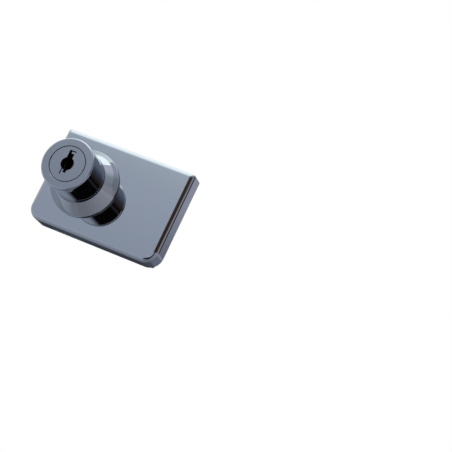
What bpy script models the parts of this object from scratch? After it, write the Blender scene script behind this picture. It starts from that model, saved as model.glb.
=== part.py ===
"""Clamp-on cylinder lock for a swinging glass door.

A cast front housing carries a key cylinder in a conical collar. Behind the housing a folded steel channel
grips the bottom edge of the pane between a fixed pad and a screwed pressure plate. Turning the key swings an
eccentric pin, which slides a flat bolt down out of the housing's lower wall.

Frame: +X along the housing's long side, +Y from the front towards the glass, +Z up. The origin is where
the cylinder's axis meets the plane on which the glass bears. Sizes are in millimetres.
"""

import math

import bmesh
import bpy
from mathutils import Matrix, Vector

MM = 0.001
MERGE = 0.0001
ROUND_STEPS = 64
SMALL_STEPS = 24
CORNER_STEPS = 6

# Clearances
SEAT = 0.3
RUN = 0.25
FIT = 0.2
TURN = 0.1

# Front housing
HOUSING_LENGTH = 54.0
HOUSING_HEIGHT = 37.2
AXIS_FROM_LEFT = 16.3
AXIS_FROM_TOP = 18.2
TOP_CORNER = 0.9
BOTTOM_CORNER = 5.2
EDGE_FILLET = 1.75
FACE_WALL = 1.6
SIDE_WALL = 1.8
BOTTOM_WALL = 2.4
INNER_CORNER = 0.5
SPIGOT_WALL = 1.1
SPIGOT_HEIGHT = 0.8

# Layers behind the face wall, front to back
NUT_THICKNESS = 1.3
BARREL_PROUD = 0.1
CAM_THICKNESS = 1.4
BOLT_THICKNESS = 1.2
SHEET = 1.35

# Key cylinder
SHANK_RADIUS = 8.0
NECK_SHOULDER = 1.65
RING_LEDGE = 0.2
RING_LIP = 1.3
RING_EDGE = 0.5
HEAD_LENGTH = 14.3
PLUG_HEAD_RADIUS = 6.8
PLUG_HEAD_DEPTH = 1.6
PLUG_RADIUS = 6.1
PLUG_EDGE = 0.25
PLUG_RECESS = 0.1
TAIL_SQUARE = 4.6
TAIL_LENGTH = 0.5
NUT_WALL = 1.4
NUT_NOTCH = 2.4
NUT_NOTCH_DEPTH = 0.6

# Conical collar
COLLAR_FLARE = 3.55
COLLAR_RIM = 0.7
COLLAR_LAP = 0.9
COLLAR_CONE = 5.3
COLLAR_BRIM = 0.8
COLLAR_BRIM_RISE = 0.3
COLLAR_LIP = 0.15
COLLAR_POCKET = 0.5
COLLAR_EDGE = 0.15

# Keyway
KEY_HOLE_RADIUS = 2.5
KEY_HOLE_DEPTH = 2.4
KEY_SLOT_LEFT = 1.3
KEY_SLOT_RIGHT = 0.9
KEY_SLOT_TOP = 5.2
KEY_SLOT_END = 3.45
KEY_GROOVE = 0.42
KEY_GROOVE_LEFT = 4.5
KEY_GROOVE_RIGHT = 1.25
KEY_WARD_THICKNESS = 0.73
KEY_WARD_TIP = 0.3
KEY_WARD_LOW = 2.3
KEY_DEPTH = 17.6

# Wafers and their springs
WAFER_COUNT = 6
WAFER_FIRST = 3.6
WAFER_PITCH = 2.6
WAFER_THICKNESS = 1.0
WAFER_HALF_WIDTH = 3.0
WAFER_PLAY = 0.15
WAFER_TRAVEL = 0.6
WAFER_WINDOW_HALF_WIDTH = 1.35
WAFER_WINDOW_HEIGHT = 6.4
WAFER_BITTING = 0.25
LUG_REACH = 1.3
LUG_LOW = 1.1
LUG_HEIGHT = 1.2
SPRING_WIRE = 0.12
SPRING_COIL = 0.4
SPRING_TURNS = 5
SPRING_SEAT = 0.15

# Cam, its screw and its stop
CAM_MARGIN = 0.1
PIN_RADIUS = 1.5
BOLT_THROW = 6.4
TURN_ANGLE = math.radians(90)
STOP_HALF_ANGLE = math.radians(12)
STOP_PLAY = math.radians(2)
STOP_RING = 1.1
CAM_SCREW_RADIUS = 1.4
CAM_SCREW_HEAD_RADIUS = 2.9
CAM_SCREW_HEAD = 0.8
CAM_SCREW_GRIP = 5.0

# Bolt and its guides
BOLT_WIDTH = 16.0
BOLT_TIP_INSET = 0.2
BOLT_FORK_WALL = 1.5
BOLT_FORK_SPARE = 0.6
BOLT_TIP_CHAMFER = 1.0
PIN_PLAY = 0.3
STUD_RADIUS = 1.5
STUD_PLAY = 0.15
RIB_THICKNESS = 1.4
RIB_HEIGHT = 2.8

# Clamp channel
JAW_FROM_SIDE = 7.0
JAW_FROM_TOP = 5.0
JAW_CORNER = 4.0
BEND_RADIUS = 0.8
BEND_STEPS = 5
RELIEF = 0.8
GLASS_GAP = 8.0
CLAMP_TRAVEL = 3.0

# Pads and pressure plate
PAD_THICKNESS = 1.0
PAD_CORNER = 1.5
FRONT_PAD_INSET = 1.5
FRONT_PAD_RISE = 1.2
FRONT_PAD_FROM_TOP = 0.7
REAR_PAD_THICKNESS = 0.8
REAR_PAD_BORDER = 1.0
EDGE_PAD_INSET = 2.0
EDGE_PAD_THICKNESS = 1.0
PLATE_INSET = 2.0
PLATE_RISE = 2.3
PLATE_FROM_TOP = 3.6
PLATE_THICKNESS = 2.0
PLATE_CORNER = 2.5

# Fasteners
SET_SCREW_RADIUS = 2.5
SET_SCREW_INSET = 7.0
SET_SCREW_SOCKET = 1.45
SET_SCREW_SOCKET_DEPTH = 2.4
SET_SCREW_CHAMFER = 0.4
DOG_RADIUS = 1.5
DOG_LENGTH = 1.2
DIMPLE_DEPTH = 1.1
WELD_NUT_FLAT = 4.0
WELD_NUT_THICKNESS = 3.2
HOUSING_SCREW_RADIUS = 1.25
HOUSING_SCREW_HEAD_RADIUS = 2.3
HOUSING_SCREW_HEAD = 1.0
HOUSING_SCREW_LENGTH = 4.4
HOUSING_SCREW_SOCKET = 0.9
HOUSING_SCREW_SOCKET_DEPTH = 0.7
POST_RADIUS = 2.7
POST_FROM_SIDE = 5.2
POST_FROM_TOP = 5.2
POST_FROM_BOTTOM = 8.5
THREAD_GAP = 0.15

# Worked out from the sizes above
X_RIGHT = HOUSING_LENGTH - AXIS_FROM_LEFT
X_LEFT = X_RIGHT - HOUSING_LENGTH
X_MIDDLE = X_RIGHT - HOUSING_LENGTH / 2
Z_BOTTOM = AXIS_FROM_TOP - HOUSING_HEIGHT
Z_TOP = Z_BOTTOM + HOUSING_HEIGHT

SPIGOT_RADIUS = SHANK_RADIUS + SPIGOT_WALL
NECK_RADIUS = SHANK_RADIUS + NECK_SHOULDER
RING_RADIUS = NECK_RADIUS + RING_LEDGE
COLLAR_RADIUS = NECK_RADIUS + COLLAR_FLARE
NUT_RADIUS = SHANK_RADIUS + NUT_WALL
CAM_RADIUS = SHANK_RADIUS - CAM_MARGIN

BARREL_REAR = FACE_WALL + SEAT + NUT_THICKNESS + BARREL_PROUD
CAM_FRONT = BARREL_REAR + RUN
CAM_REAR = CAM_FRONT + CAM_THICKNESS
BOLT_FRONT = CAM_REAR + RUN
BOLT_REAR = BOLT_FRONT + BOLT_THICKNESS
FLANGE_FRONT = BOLT_REAR + RUN
HOUSING_DEPTH = FLANGE_FRONT + SHEET
Y_FACE = -(PAD_THICKNESS + SEAT + HOUSING_DEPTH)

COLLAR_SEAT = SPIGOT_HEIGHT + SEAT
COLLAR_BOTTOM = COLLAR_SEAT - COLLAR_LAP
COLLAR_SHOULDER = COLLAR_BOTTOM + COLLAR_RIM
COLLAR_TOP = COLLAR_SHOULDER + COLLAR_BRIM_RISE + COLLAR_CONE
HEAD_BOTTOM = COLLAR_TOP - COLLAR_POCKET + SEAT
KNOB_HEIGHT = HEAD_BOTTOM + HEAD_LENGTH

SHANK_HOLE = SHANK_RADIUS + FIT
PLUG_BORE = PLUG_RADIUS + TURN
PLUG_HEAD_BORE = PLUG_HEAD_RADIUS + TURN
PLUG_FRONT = KNOB_HEIGHT - PLUG_RECESS
PLUG_REAR = BARREL_REAR + RUN / 2

WAFER_REACH = PLUG_RADIUS - TURN
SLOT_HALF_WIDTH = WAFER_HALF_WIDTH + WAFER_PLAY
POCKET_REACH = WAFER_HALF_WIDTH + LUG_REACH + WAFER_PLAY
POCKET_HALF_HEIGHT = LUG_LOW + LUG_HEIGHT + WAFER_TRAVEL + WAFER_PLAY
CHANNEL_REACH = PLUG_RADIUS + WAFER_TRAVEL + WAFER_PLAY

PIN_ORBIT = BOLT_THROW / 2 / math.sin(TURN_ANGLE / 2)
PIN_SIDE = PIN_ORBIT * math.cos(TURN_ANGLE / 2)
PIN_UP = PIN_ORBIT * math.sin(TURN_ANGLE / 2)
STOP_INNER = SHANK_RADIUS - STOP_RING
FORK = STUD_RADIUS + STUD_PLAY
FORK_FLOOR = PIN_UP + PIN_RADIUS + PIN_PLAY + BOLT_FORK_WALL
STUD_HEIGHT = FORK_FLOOR + FORK
BOLT_TAIL = STUD_HEIGHT + BOLT_THROW + BOLT_FORK_SPARE

FLANGE_LEFT = X_LEFT + SIDE_WALL + RUN
FLANGE_RIGHT = X_RIGHT - SIDE_WALL - RUN
FLANGE_TOP = Z_TOP - SIDE_WALL - RUN
FLANGE_BOTTOM = Z_BOTTOM + BOTTOM_WALL + RUN
WEB_TOP = FLANGE_BOTTOM + SHEET
FOLD_LINE = FLANGE_BOTTOM + SHEET + BEND_RADIUS
EDGE_PAD_LOW = WEB_TOP + SEAT
EDGE_PAD_TOP = EDGE_PAD_LOW + EDGE_PAD_THICKNESS
JAW_LEFT = X_LEFT + JAW_FROM_SIDE
JAW_RIGHT = X_RIGHT - JAW_FROM_SIDE
JAW_TOP = Z_TOP - JAW_FROM_TOP
PLATE_LOW = EDGE_PAD_TOP + PLATE_RISE
PLATE_HIGH = JAW_TOP - PLATE_FROM_TOP
PLATE_FRONT = GLASS_GAP + REAR_PAD_THICKNESS + SEAT
PLATE_REAR = PLATE_FRONT + PLATE_THICKNESS
JAW_FRONT = PLATE_REAR + SEAT
JAW_REAR = JAW_FRONT + SHEET
SET_SCREW_LEVEL = (PLATE_LOW + PLATE_HIGH) / 2
SET_SCREW_REAR = JAW_REAR + SEAT + WELD_NUT_THICKNESS + CLAMP_TRAVEL

for old in list(bpy.data.objects):
    bpy.data.objects.remove(old, do_unlink=True)


def metres(x, y, z):
    """A point given in millimetres."""
    return Vector((x, y, z)) * MM


def make_material(name, color, metallic, roughness):
    """One plain finish."""
    material = bpy.data.materials.new(name)
    material.use_nodes = True
    shader = material.node_tree.nodes["Principled BSDF"]
    shader.inputs["Base Color"].default_value = (*color, 1.0)
    shader.inputs["Metallic"].default_value = metallic
    shader.inputs["Roughness"].default_value = roughness
    return material


CHROME = make_material("bright_chrome", (0.56, 0.57, 0.60), 1.0, 0.08)
SATIN_CHROME = make_material("satin_chrome", (0.55, 0.57, 0.60), 1.0, 0.25)
BRASS = make_material("brass", (0.72, 0.52, 0.22), 1.0, 0.3)
STEEL = make_material("zinc_plated_steel", (0.60, 0.60, 0.58), 1.0, 0.35)
DARK_STEEL = make_material("blackened_steel", (0.05, 0.05, 0.055), 0.9, 0.4)
SPRING_STEEL = make_material("spring_steel", (0.45, 0.45, 0.46), 1.0, 0.25)
RUBBER = make_material("clear_grey_rubber", (0.70, 0.71, 0.70), 0.0, 0.6)


def closed(bm):
    """Merge what meets, and turn every face outwards."""
    bmesh.ops.remove_doubles(bm, verts=bm.verts, dist=MERGE * MM)
    bmesh.ops.recalc_face_normals(bm, faces=bm.faces)
    return bm


def add_object(name, bm, material, place=(0.0, 0.0, 0.0), parent=None):
    """A named object with its mesh, finish, place and parent."""
    mesh = bpy.data.meshes.new(name)
    closed(bm).to_mesh(mesh)
    bm.free()
    mesh.materials.append(material)
    mesh.shade_smooth()
    mesh.set_sharp_from_angle(angle=math.radians(30))
    return link_object(name, mesh, place, parent)


def link_object(name, mesh, place=(0.0, 0.0, 0.0), parent=None):
    """An object that shows a mesh at its place, in millimetres from the origin or the parent."""
    thing = bpy.data.objects.new(name, mesh)
    thing.location = metres(*place)
    thing.parent = parent
    bpy.context.scene.collection.objects.link(thing)
    return thing


def add_empty(name, place):
    """A frame that pieces of one moving group hang on."""
    empty = bpy.data.objects.new(name, None)
    empty.location = metres(*place)
    bpy.context.scene.collection.objects.link(empty)
    return empty


def add_tool(name, bm, place=(0.0, 0.0, 0.0), parent=None):
    """A shape that only cuts or joins other shapes."""
    tool = add_object(name, bm, STEEL, place, parent)
    tool.hide_render = True
    tool.display_type = "WIRE"
    return tool


def combine(thing, tool, operation="DIFFERENCE"):
    """Cut a tool's shape from an object, or join it on."""
    modifier = thing.modifiers.new(tool.name, "BOOLEAN")
    modifier.operation = operation
    modifier.object = tool


def circle(radius, steps=SMALL_STEPS, centre=(0.0, 0.0), start=0.0):
    """Points round a circle, as (x, z)."""
    turns = [start + 2 * math.pi * i / steps for i in range(steps)]
    return [(centre[0] + radius * math.cos(a), centre[1] + radius * math.sin(a)) for a in turns]


def arc(radius, begin, end, steps, centre=(0.0, 0.0)):
    """Points along an arc, both ends included."""
    turns = [begin + (end - begin) * i / steps for i in range(steps + 1)]
    return [(centre[0] + radius * math.cos(a), centre[1] + radius * math.sin(a)) for a in turns]


def box_outline(left, right, low, high):
    """A plain rectangle, as (x, z)."""
    return [(left, low), (right, low), (right, high), (left, high)]


def rounded_outline(left, right, low, high, low_corner, high_corner, steps=CORNER_STEPS):
    """A rectangle whose two low corners share one radius and whose two high corners share another."""
    quarter = math.pi / 2
    corners = [
        (left + low_corner, low + low_corner, low_corner, 2),
        (right - low_corner, low + low_corner, low_corner, 3),
        (right - high_corner, high - high_corner, high_corner, 4),
        (left + high_corner, high - high_corner, high_corner, 5),
    ]
    points = []
    for x, z, radius, turn in corners:
        points += arc(radius, turn * quarter, (turn + 1) * quarter, steps, (x, z))
    return points


def prism(outline, front, rear, bm=None):
    """An (x, z) outline extruded along Y."""
    bm = bm or bmesh.new()
    face = bm.faces.new([bm.verts.new(metres(x, front, z)) for x, z in outline])
    grown = bmesh.ops.extrude_face_region(bm, geom=[face])["geom"]
    moved = [v for v in grown if isinstance(v, bmesh.types.BMVert)]
    bmesh.ops.translate(bm, verts=moved, vec=metres(0, rear - front, 0))
    return bm


def turned(profile, steps=ROUND_STEPS):
    """A closed (radius, y) profile spun about the Y axis. A run along the axis itself is left out."""
    bm = bmesh.new()
    points = [bm.verts.new(metres(r, y, 0)) for r, y in profile]
    edges = []
    for i, (r, _) in enumerate(profile):
        j = (i + 1) % len(profile)
        if r > 0 or profile[j][0] > 0:
            edges.append(bm.edges.new((points[i], points[j])))
    bmesh.ops.spin(bm, geom=points + edges, cent=(0, 0, 0), axis=(0, 1, 0), angle=2 * math.pi, steps=steps)
    return closed(bm)


def lofted(rings):
    """Outlines with equal numbers of points, each at its own depth, joined in order and capped."""
    bm = bmesh.new()
    loops = [[bm.verts.new(metres(x, y, z)) for x, z in outline] for outline, y in rings]
    for first, second in zip(loops, loops[1:]):
        for i in range(len(first)):
            j = (i + 1) % len(first)
            bm.faces.new((first[i], first[j], second[j], second[i]))
    bm.faces.new(loops[0])
    bm.faces.new(loops[-1])
    return bm


def housing_outline(inset):
    """The housing's outline, moved inwards; its small top corners sharpen on the way."""
    high_corner = TOP_CORNER + (INNER_CORNER - TOP_CORNER) * inset / EDGE_FILLET
    return rounded_outline(
        X_LEFT + inset, X_RIGHT - inset, Z_BOTTOM + inset, Z_TOP - inset, BOTTOM_CORNER - inset, high_corner
    )


def cavity_outline(gap, steps=CORNER_STEPS):
    """The housing's hollow, moved inwards by a gap."""
    return rounded_outline(
        X_LEFT + SIDE_WALL + gap,
        X_RIGHT - SIDE_WALL - gap,
        Z_BOTTOM + BOTTOM_WALL + gap,
        Z_TOP - SIDE_WALL - gap,
        max(BOTTOM_CORNER - BOTTOM_WALL - gap, INNER_CORNER),
        max(TOP_CORNER - SIDE_WALL - gap, INNER_CORNER),
        steps,
    )


def post_places():
    """Where the four housing screws stand, as (x, z)."""
    sides = (X_LEFT + POST_FROM_SIDE, X_RIGHT - POST_FROM_SIDE)
    levels = (Z_BOTTOM + POST_FROM_BOTTOM, Z_TOP - POST_FROM_TOP)
    return [(x, z) for z in levels for x in sides]


def build_housing():
    """Cast cap with an open back, a low spigot for the collar, screw posts, bolt ribs and a bolt slot."""
    rings = []
    for i in range(CORNER_STEPS + 1):
        turn = math.pi / 2 * i / CORNER_STEPS
        inset = EDGE_FILLET * (1 - math.sin(turn))
        rings.append((housing_outline(inset), EDGE_FILLET * (1 - math.cos(turn))))
    rings.append((housing_outline(0), HOUSING_DEPTH))
    rings.append((cavity_outline(0), HOUSING_DEPTH))
    rings.append((cavity_outline(0), FACE_WALL))
    place = (0, Y_FACE, 0)
    housing = add_object("front_housing", lofted(rings), CHROME, place)

    spigot = prism(circle(SPIGOT_RADIUS, ROUND_STEPS), -SPIGOT_HEIGHT, FACE_WALL / 2)
    combine(housing, add_tool("spigot_shape", spigot, place), "UNION")

    post_end = FLANGE_FRONT - SEAT
    posts = bmesh.new()
    for spot in post_places():
        prism(circle(POST_RADIUS, SMALL_STEPS, spot), FACE_WALL / 2, post_end, posts)
    rib_side = BOLT_WIDTH / 2 + RUN
    rib_low, rib_high = Z_BOTTOM + BOTTOM_WALL / 2, Z_BOTTOM + BOTTOM_WALL + RIB_HEIGHT
    for side in (-1, 1):
        near, far = sorted((side * rib_side, side * (rib_side + RIB_THICKNESS)))
        prism(box_outline(near, far, rib_low, rib_high), FACE_WALL / 2, post_end, posts)
    combine(housing, add_tool("post_and_rib_shapes", posts, place), "UNION")

    holes = prism(circle(SHANK_HOLE, ROUND_STEPS), -SPIGOT_HEIGHT - 1, FACE_WALL + 1)
    for spot in post_places():
        hole = circle(HOUSING_SCREW_RADIUS + THREAD_GAP, SMALL_STEPS, spot)
        prism(hole, HOUSING_DEPTH - HOUSING_SCREW_LENGTH - SEAT, HOUSING_DEPTH, holes)
    combine(housing, add_tool("housing_holes", holes, place))

    slot_side = BOLT_WIDTH / 2 + RUN
    slot = prism(
        box_outline(-slot_side, slot_side, Z_BOTTOM - 1, Z_BOTTOM + BOTTOM_WALL + 1),
        BOLT_FRONT - RUN,
        BOLT_REAR + RUN,
    )
    combine(housing, add_tool("bolt_slot", slot, place))
    return housing


def build_collar():
    """Conical collar that laps over the spigot and takes the foot of the cylinder's head."""
    pocket = NECK_RADIUS + FIT
    lap = SPIGOT_RADIUS + FIT
    brim = COLLAR_RADIUS - COLLAR_BRIM
    profile = [
        (SHANK_HOLE, -COLLAR_SEAT),
        (SHANK_HOLE, -(COLLAR_TOP - COLLAR_POCKET)),
        (pocket, -(COLLAR_TOP - COLLAR_POCKET)),
        (pocket, -COLLAR_TOP),
        (pocket + COLLAR_LIP, -COLLAR_TOP),
        (brim, -(COLLAR_SHOULDER + COLLAR_BRIM_RISE)),
        (COLLAR_RADIUS - COLLAR_EDGE, -COLLAR_SHOULDER),
        (COLLAR_RADIUS, -(COLLAR_SHOULDER - COLLAR_EDGE)),
        (COLLAR_RADIUS, -(COLLAR_BOTTOM + COLLAR_EDGE)),
        (COLLAR_RADIUS - COLLAR_EDGE, -COLLAR_BOTTOM),
        (lap, -COLLAR_BOTTOM),
        (lap, -COLLAR_SEAT),
    ]
    return add_object("collar", turned(profile), CHROME, (0, Y_FACE, 0))


def build_barrel():
    """Cylinder barrel: ring head, neck, threaded shank, bore, wafer channels and the cam's stop."""
    lip = KNOB_HEIGHT - RING_LIP
    front = [
        (RING_RADIUS - RING_EDGE + r, -(KNOB_HEIGHT - RING_EDGE + h))
        for r, h in arc(RING_EDGE, 0, math.pi / 2, 4)
    ]
    profile = [
        (SHANK_RADIUS, BARREL_REAR),
        (SHANK_RADIUS, -HEAD_BOTTOM),
        (NECK_RADIUS, -HEAD_BOTTOM),
        (NECK_RADIUS, -lip),
        (RING_RADIUS, -lip - RING_LEDGE),
        *front,
        (PLUG_HEAD_BORE + PLUG_EDGE, -KNOB_HEIGHT),
        (PLUG_HEAD_BORE, -(KNOB_HEIGHT - PLUG_EDGE)),
        (PLUG_HEAD_BORE, -(PLUG_FRONT - PLUG_HEAD_DEPTH - SEAT)),
        (PLUG_BORE, -(PLUG_FRONT - PLUG_HEAD_DEPTH - SEAT)),
        (PLUG_BORE, BARREL_REAR),
    ]
    place = (0, Y_FACE, 0)
    barrel = add_object("cylinder_barrel", turned(profile), CHROME, place)

    first = -(PLUG_FRONT - WAFER_FIRST + WAFER_THICKNESS)
    last = -(PLUG_FRONT - WAFER_FIRST - (WAFER_COUNT - 1) * WAFER_PITCH - WAFER_THICKNESS)
    channels = bmesh.new()
    half = math.asin(SLOT_HALF_WIDTH / CHANNEL_REACH)
    cross = []
    for turn in range(4):
        middle = turn * math.pi / 2
        corner = math.hypot(SLOT_HALF_WIDTH, SLOT_HALF_WIDTH)
        cross += arc(CHANNEL_REACH, middle - half, middle + half, 4)
        cross += arc(corner, middle + math.pi / 4, middle + math.pi / 4, 1)[:1]
    prism(cross, first, last, channels)
    combine(barrel, add_tool("wafer_channels", channels, place))

    outer_arc = arc(SHANK_RADIUS - TURN, math.pi - STOP_HALF_ANGLE, math.pi + STOP_HALF_ANGLE, 4)
    inner_arc = arc(STOP_INNER, math.pi + STOP_HALF_ANGLE, math.pi - STOP_HALF_ANGLE, 4)
    stop = prism(outer_arc + inner_arc, BARREL_REAR - 1, CAM_REAR - RUN)
    combine(barrel, add_tool("stop_shape", stop, place), "UNION")
    return barrel


def build_plug(parent):
    """Plug with its head, keyway, wafer slots, square tail and screw hole."""
    profile = [
        (0, -PLUG_FRONT),
        (PLUG_HEAD_RADIUS - PLUG_EDGE, -PLUG_FRONT),
        (PLUG_HEAD_RADIUS, -(PLUG_FRONT - PLUG_EDGE)),
        (PLUG_HEAD_RADIUS, -(PLUG_FRONT - PLUG_HEAD_DEPTH)),
        (PLUG_RADIUS, -(PLUG_FRONT - PLUG_HEAD_DEPTH)),
        (PLUG_RADIUS, PLUG_REAR),
        (0, PLUG_REAR),
    ]
    plug = add_object("plug", turned(profile), SATIN_CHROME, parent=parent)

    half = TAIL_SQUARE / 2
    tail = prism(box_outline(-half, half, -half, half), PLUG_REAR - 1, PLUG_REAR + TAIL_LENGTH)
    combine(plug, add_tool("tail_shape", tail, parent=parent), "UNION")

    slots = bmesh.new()
    cross = [
        (-SLOT_HALF_WIDTH, -CHANNEL_REACH),
        (SLOT_HALF_WIDTH, -CHANNEL_REACH),
        (SLOT_HALF_WIDTH, -POCKET_HALF_HEIGHT),
        (POCKET_REACH, -POCKET_HALF_HEIGHT),
        (POCKET_REACH, POCKET_HALF_HEIGHT),
        (SLOT_HALF_WIDTH, POCKET_HALF_HEIGHT),
        (SLOT_HALF_WIDTH, CHANNEL_REACH),
        (-SLOT_HALF_WIDTH, CHANNEL_REACH),
    ]
    for i in range(WAFER_COUNT):
        middle = wafer_depth(i)
        reach = WAFER_THICKNESS / 2 + WAFER_PLAY
        prism(cross, middle - reach, middle + reach, slots)
    combine(plug, add_tool("wafer_slots", slots, parent=parent))

    slot = prism(keyway_outline(), -PLUG_FRONT - 1, -(PLUG_FRONT - KEY_DEPTH))
    combine(plug, add_tool("key_slot", slot, parent=parent))
    hole = prism(circle(KEY_HOLE_RADIUS, 32), -PLUG_FRONT - 1, -(PLUG_FRONT - KEY_HOLE_DEPTH))
    combine(plug, add_tool("key_hole", hole, parent=parent))

    screw_hole = circle(CAM_SCREW_RADIUS + THREAD_GAP)
    screw_hole_tool = prism(screw_hole, PLUG_REAR - CAM_SCREW_GRIP - SEAT, PLUG_REAR + TAIL_LENGTH + 1)
    combine(plug, add_tool("cam_screw_hole", screw_hole_tool, parent=parent))
    return plug


def keyway_outline():
    """The key slot with one ward at its upper right and one at its lower left, as (x, z)."""
    groove_side = -KEY_SLOT_LEFT + KEY_GROOVE
    groove_floor = KEY_SLOT_TOP - KEY_GROOVE
    ward_low = groove_floor - KEY_WARD_THICKNESS
    return [
        (-KEY_SLOT_LEFT, KEY_SLOT_TOP),
        (KEY_GROOVE_RIGHT, KEY_SLOT_TOP),
        (KEY_GROOVE_RIGHT, groove_floor),
        (-KEY_WARD_TIP, groove_floor),
        (-KEY_WARD_TIP, ward_low),
        (KEY_SLOT_RIGHT, ward_low),
        (KEY_SLOT_RIGHT, -KEY_SLOT_END),
        (-KEY_WARD_TIP, -KEY_SLOT_END),
        (-KEY_WARD_TIP, -KEY_WARD_LOW),
        (groove_side, -KEY_WARD_LOW),
        (groove_side, -KEY_GROOVE_LEFT),
        (-KEY_SLOT_LEFT, -KEY_GROOVE_LEFT),
    ]


def wafer_depth(i):
    """How far a wafer's middle lies behind the housing's face; negative in front of it."""
    return -(PLUG_FRONT - WAFER_FIRST - i * WAFER_PITCH)


def build_wafers(parent):
    """Flat brass wafers, up and down by turns, each with its window and its spring's lug."""
    angle = math.acos(WAFER_HALF_WIDTH / WAFER_REACH)
    half = WAFER_THICKNESS / 2
    for i in range(WAFER_COUNT):
        up = 1 if i % 2 == 0 else -1
        lug_side = WAFER_HALF_WIDTH + LUG_REACH
        outline = arc(WAFER_REACH, math.pi + angle, 2 * math.pi - angle, CORNER_STEPS)
        outline += [
            (WAFER_HALF_WIDTH, LUG_LOW),
            (lug_side, LUG_LOW),
            (lug_side, LUG_LOW + LUG_HEIGHT),
            (WAFER_HALF_WIDTH, LUG_LOW + LUG_HEIGHT),
        ]
        outline += arc(WAFER_REACH, angle, math.pi - angle, CORNER_STEPS)
        place = (0, wafer_depth(i), 0)
        bm = prism([(x, up * z) for x, z in outline], -half, half)
        wafer = add_object(f"wafer_{i + 1}", bm, BRASS, place, parent)
        shift = WAFER_BITTING * (i % 3 - 1)
        low, high = shift - WAFER_WINDOW_HEIGHT / 2, shift + WAFER_WINDOW_HEIGHT / 2
        window = box_outline(-WAFER_WINDOW_HALF_WIDTH, WAFER_WINDOW_HALF_WIDTH, low, high)
        tool = add_tool(f"wafer_window_{i + 1}", prism(window, -1, 1), place, parent)
        combine(wafer, tool)


def coil(radius, wire, turns, length, around=12, sides=5):
    """A closed helical wire about the Z axis, standing on z = 0."""
    bm = bmesh.new()
    steps = turns * around
    rings = []
    for i in range(steps + 1):
        a = 2 * math.pi * i / around
        z = wire + (length - 2 * wire) * i / steps
        ring = []
        for j in range(sides):
            b = 2 * math.pi * j / sides
            r = radius + wire * math.cos(b)
            ring.append(bm.verts.new(metres(r * math.cos(a), r * math.sin(a), z + wire * math.sin(b))))
        rings.append(ring)
    for first, second in zip(rings, rings[1:]):
        for j in range(sides):
            k = (j + 1) % sides
            bm.faces.new((first[j], first[k], second[k], second[j]))
    bm.faces.new(rings[0])
    bm.faces.new(rings[-1])
    return bm


def build_springs(parent):
    """One spring under each wafer's lug; those of the wafers that drop are turned over."""
    length = POCKET_HALF_HEIGHT - SPRING_SEAT + LUG_LOW - SPRING_SEAT
    side = WAFER_HALF_WIDTH + WAFER_PLAY + LUG_REACH / 2
    mesh = None
    for i in range(WAFER_COUNT):
        up = 1 if i % 2 == 0 else -1
        place = (side, wafer_depth(i), -up * (POCKET_HALF_HEIGHT - SPRING_SEAT))
        name = f"wafer_spring_{i + 1}"
        if mesh is None:
            bm = coil(SPRING_COIL, SPRING_WIRE, SPRING_TURNS, length)
            spring = add_object(name, bm, SPRING_STEEL, place, parent)
            mesh = spring.data
        else:
            spring = link_object(name, mesh, place, parent)
        spring.rotation_euler.x = 0 if up > 0 else math.pi


def countersunk(radius, head_radius, head, length):
    """Turned profile of a countersunk screw with its head flush at y = 0 and its point at -length."""
    tip = radius / 3
    return [
        (0, 0),
        (head_radius, 0),
        (head_radius, -head / 5),
        (radius, -head),
        (radius, -(length - tip)),
        (radius - tip, -length),
        (0, -length),
    ]


def build_cam(parent):
    """Cam disc with its stop notch, its square hole and countersink, and the eccentric drive pin."""
    open_at = math.pi - STOP_HALF_ANGLE - STOP_PLAY
    open_to = math.pi + TURN_ANGLE + STOP_HALF_ANGLE + STOP_PLAY
    inner = STOP_INNER - TURN
    outline = arc(CAM_RADIUS, open_to, open_at + 2 * math.pi, 40) + arc(inner, open_at, open_to, 20)
    cam = add_object("drive_cam", prism(outline, CAM_FRONT, CAM_REAR), STEEL, parent=parent)
    pin = prism(circle(PIN_RADIUS, SMALL_STEPS, (PIN_SIDE, PIN_UP)), CAM_REAR - 1, BOLT_REAR)
    combine(cam, add_tool("pin_shape", pin, parent=parent), "UNION")
    half = TAIL_SQUARE / 2 + RUN / 2
    square = prism(box_outline(-half, half, -half, half), CAM_FRONT - 1, CAM_REAR + 1)
    combine(cam, add_tool("square_hole", square, parent=parent))
    head = CAM_SCREW_HEAD_RADIUS + TURN
    seat = CAM_SCREW_HEAD + TURN
    sink = [(0, 1), (head, 1), (head, -CAM_SCREW_HEAD / 5), (head - seat, -seat), (0, -seat)]
    combine(cam, add_tool("cam_countersink", turned(sink, SMALL_STEPS), (0, CAM_REAR, 0), parent))
    return cam


def build_cam_screw(parent):
    """Countersunk screw that holds the cam on the plug's tail."""
    length = CAM_REAR - TURN - PLUG_REAR + CAM_SCREW_GRIP
    profile = countersunk(CAM_SCREW_RADIUS, CAM_SCREW_HEAD_RADIUS, CAM_SCREW_HEAD, length)
    place = (0, CAM_REAR - TURN, 0)
    screw = add_object("cam_screw", turned(profile, SMALL_STEPS), STEEL, place, parent)
    recess = prism(circle(1.0, 6), -CAM_SCREW_HEAD, 1)
    combine(screw, add_tool("cam_screw_recess", recess, place, parent))
    return screw


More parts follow.
